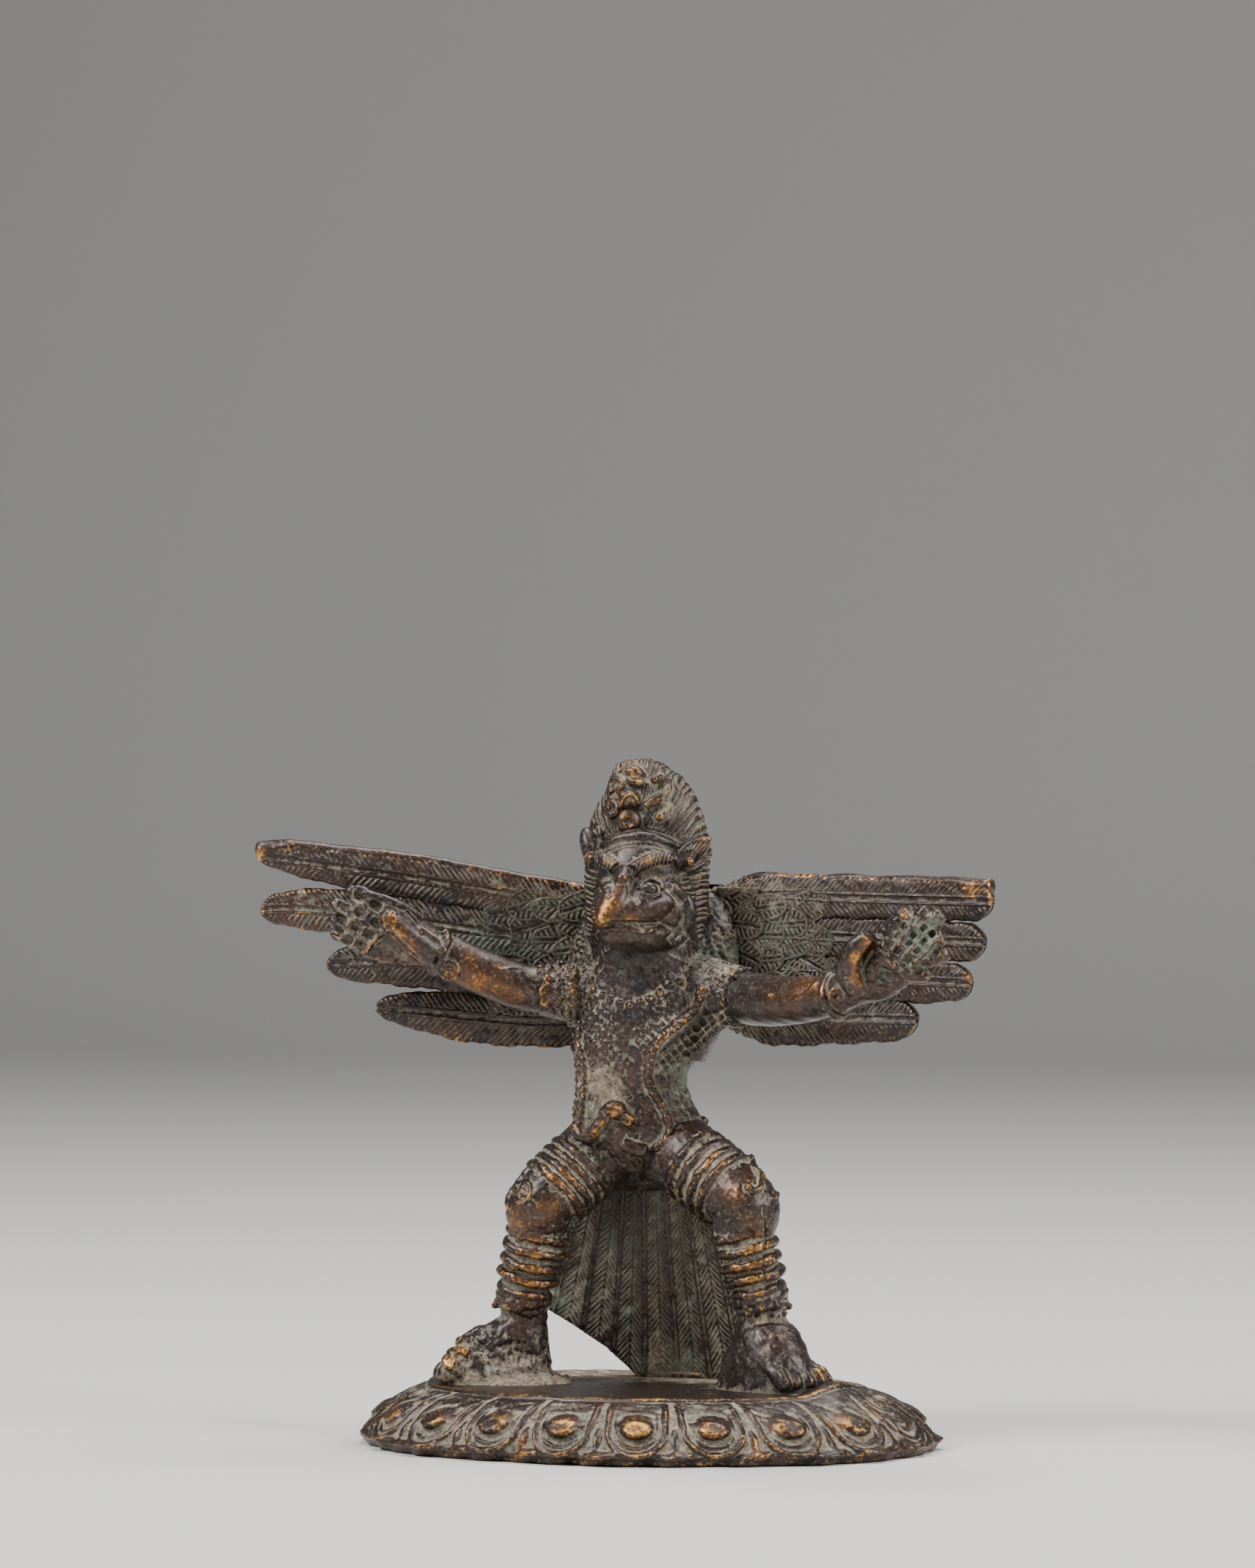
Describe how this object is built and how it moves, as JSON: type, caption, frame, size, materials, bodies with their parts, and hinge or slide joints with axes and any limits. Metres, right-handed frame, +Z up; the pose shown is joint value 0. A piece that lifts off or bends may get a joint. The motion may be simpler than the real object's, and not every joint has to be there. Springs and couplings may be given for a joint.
{
  "type": "garuda statue",
  "caption": "Cast bronze garuda: bird-headed figure with spread wings and arms, ringed legs and a fan tail, standing on a hollow oval lotus base.",
  "frame": {"origin": "middle of the bounding box, on the ground under the base", "axes": "+Z up, the figure faces -Y, its left hand is at +X"},
  "size_m": [0.1196, 0.0664, 0.1069],
  "materials": {
    "bronze": "dark plum-brown patina, worn to gold on the high points, pale dirt and green corrosion in the recesses"
  },
  "bodies": {
    "root": {"garuda_statue": "bronze"}
  },
  "joints": []
}
